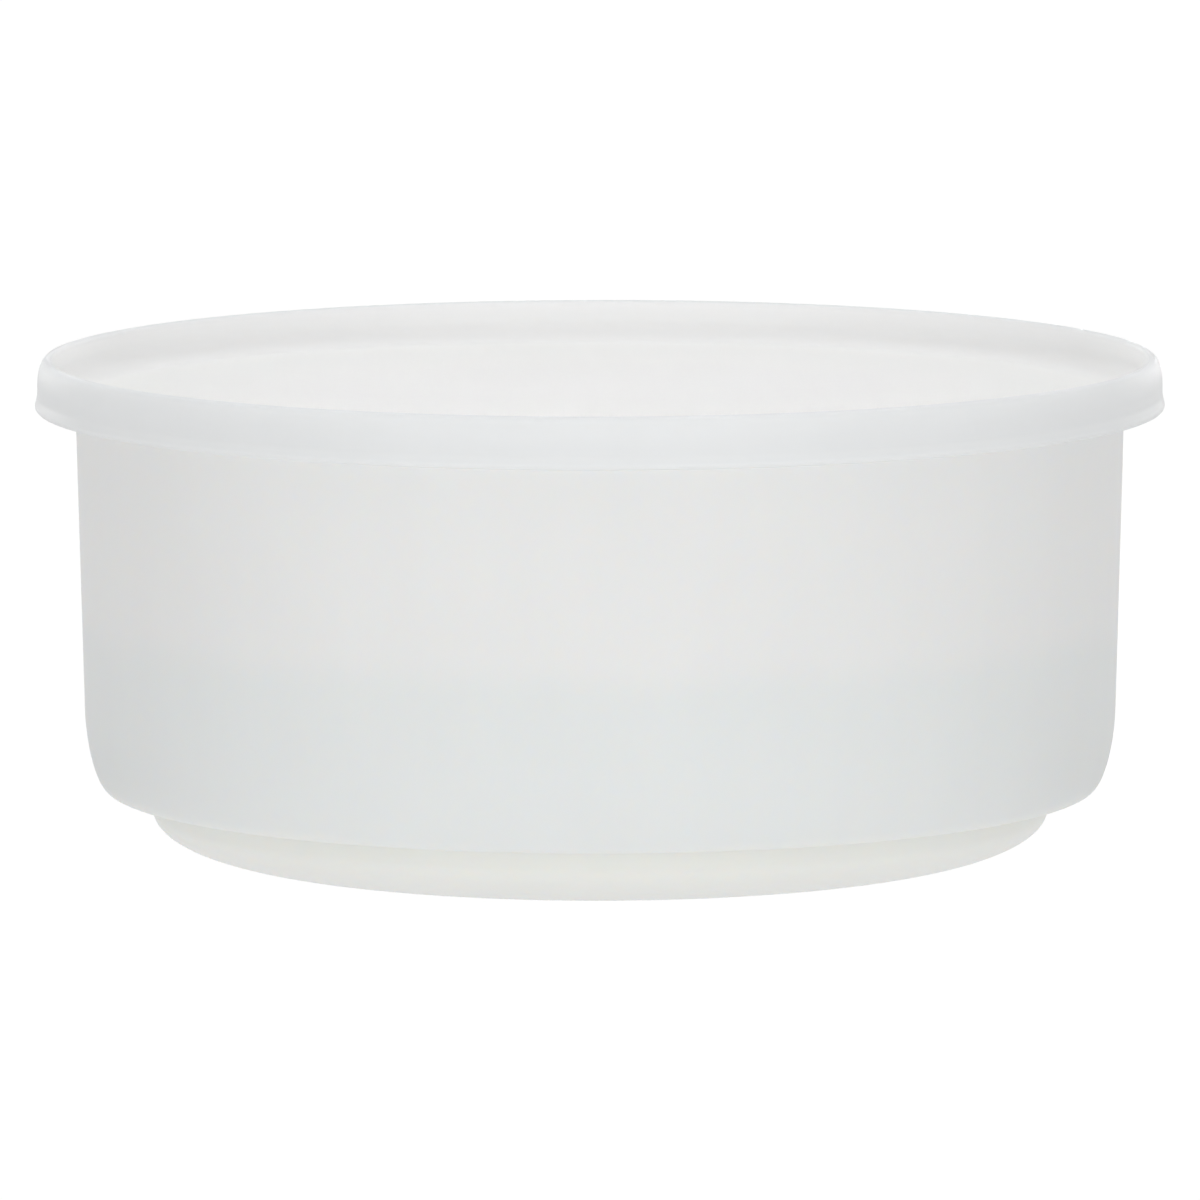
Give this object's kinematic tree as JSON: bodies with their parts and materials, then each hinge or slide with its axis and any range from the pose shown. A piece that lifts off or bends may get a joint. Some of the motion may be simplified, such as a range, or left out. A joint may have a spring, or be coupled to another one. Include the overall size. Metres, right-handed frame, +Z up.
{
  "type": "snack container",
  "caption": "Round milky-plastic snack tub with a drafted wall and a rounded stepped-in foot, closed by a press-in lid with a plain standing rim round a sunken flat panel for stacking.",
  "frame": {"origin": "centre of the flat that the tub stands on", "axes": "+Z up along the tub's axis of symmetry, the way the lid lifts off"},
  "size_m": [0.1204, 0.1204, 0.0531],
  "materials": {
    "tub_plastic": "milky translucent moulded plastic, satin",
    "lid_plastic": "milky translucent moulded plastic, satin"
  },
  "bodies": {
    "tub": {"tub": "tub_plastic"},
    "lid": {"lid": "lid_plastic"}
  },
  "joints": [
    {"name": "lid_lift", "type": "slide", "parent": "tub", "child": "lid", "axis": [0, 0, 1], "range_m": [0, 0.07]}
  ]
}
